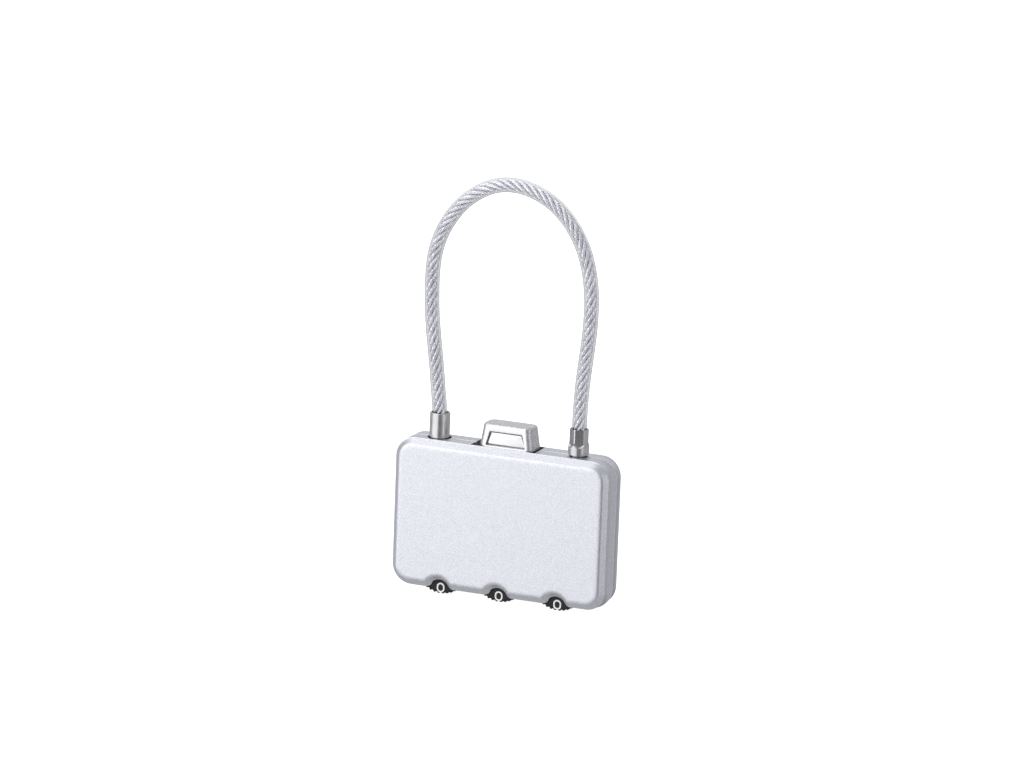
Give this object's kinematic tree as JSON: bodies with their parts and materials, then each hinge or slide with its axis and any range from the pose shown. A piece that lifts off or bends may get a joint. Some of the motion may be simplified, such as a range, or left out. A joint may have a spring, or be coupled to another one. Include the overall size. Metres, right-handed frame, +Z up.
{
  "type": "combination cable padlock",
  "caption": "Suitcase-shaped combination padlock with toothed number dials, a handle-shaped opening slider and a clear-sheathed steel cable shackle.",
  "frame": {"origin": "inside crown of the cable loop, where a hook, tab or finger carries the padlock", "axes": "+X to the right seen from the dial face, the face with the dial windows looks along -Y, +Z up from the dials to the crown of the loop"},
  "size_m": [0.0546, 0.0098, 0.1007],
  "materials": {
    "case_silver": "satin silver with a fine grain",
    "handle_silver": "satin silver casting",
    "nickel": "drawn nickel-plated tube, fine lengthwise lines",
    "zinc_steel": "zinc-plated",
    "spring_steel": "bright spring wire",
    "ring_brass": "machined",
    "dial_black": "moulded, slightly glossy",
    "digit_white": "printed numerals",
    "clear_sheath": "clear flexible plastic",
    "rope_steel": "bright twisted wire rope"
  },
  "bodies": {
    "case": {"front_cover": "case_silver", "back_cover": "case_silver", "case_rivet_1": "zinc_steel", "case_rivet_2": "zinc_steel", "case_rivet_3": "zinc_steel", "case_rivet_4": "zinc_steel", "dial_post_1": "zinc_steel", "dial_post_2": "zinc_steel", "dial_post_3": "zinc_steel", "detent_spring": "spring_steel", "latch_spring": "spring_steel", "slider_return_spring": "spring_steel", "swivel_ferrule": "nickel", "cable_sheath": "clear_sheath", "cable_core": "rope_steel"},
    "dial_1": {"dial_1": "dial_black", "gate_ring_1": "ring_brass", "clutch_spring_1": "spring_steel"},
    "dial_2": {"dial_2": "dial_black", "gate_ring_2": "ring_brass", "clutch_spring_2": "spring_steel"},
    "dial_3": {"dial_3": "dial_black", "gate_ring_3": "ring_brass", "clutch_spring_3": "spring_steel"},
    "slider": {"handle": "handle_silver", "slider_plate": "zinc_steel", "slider_screw_1": "zinc_steel", "slider_screw_2": "zinc_steel"},
    "pin": {"locking_pin": "nickel"}
  },
  "joints": [
    {"name": "dial_1_spin", "type": "hinge", "parent": "case", "child": "dial_1", "pos_m": [-0.0126, 0, -0.09015], "axis": [0, 1, 0], "continuous": true},
    {"name": "dial_2_spin", "type": "hinge", "parent": "case", "child": "dial_2", "pos_m": [0.0022, 0, -0.09015], "axis": [0, 1, 0], "continuous": true},
    {"name": "dial_3_spin", "type": "hinge", "parent": "case", "child": "dial_3", "pos_m": [0.017, 0, -0.09015], "axis": [0, 1, 0], "continuous": true},
    {"name": "handle_slide", "type": "slide", "parent": "case", "child": "slider", "axis": [-1, 0, 0], "range_m": [0, 0.0015], "stiffness_N_per_m": 300, "springref_m": -0.002, "deforming": ["slider_return_spring"]},
    {"name": "pin_pull", "type": "slide", "parent": "case", "child": "pin", "axis": [0, 0, 1], "range_m": [0, 0.01], "deforming": ["cable_sheath", "cable_core", "latch_spring"]}
  ]
}
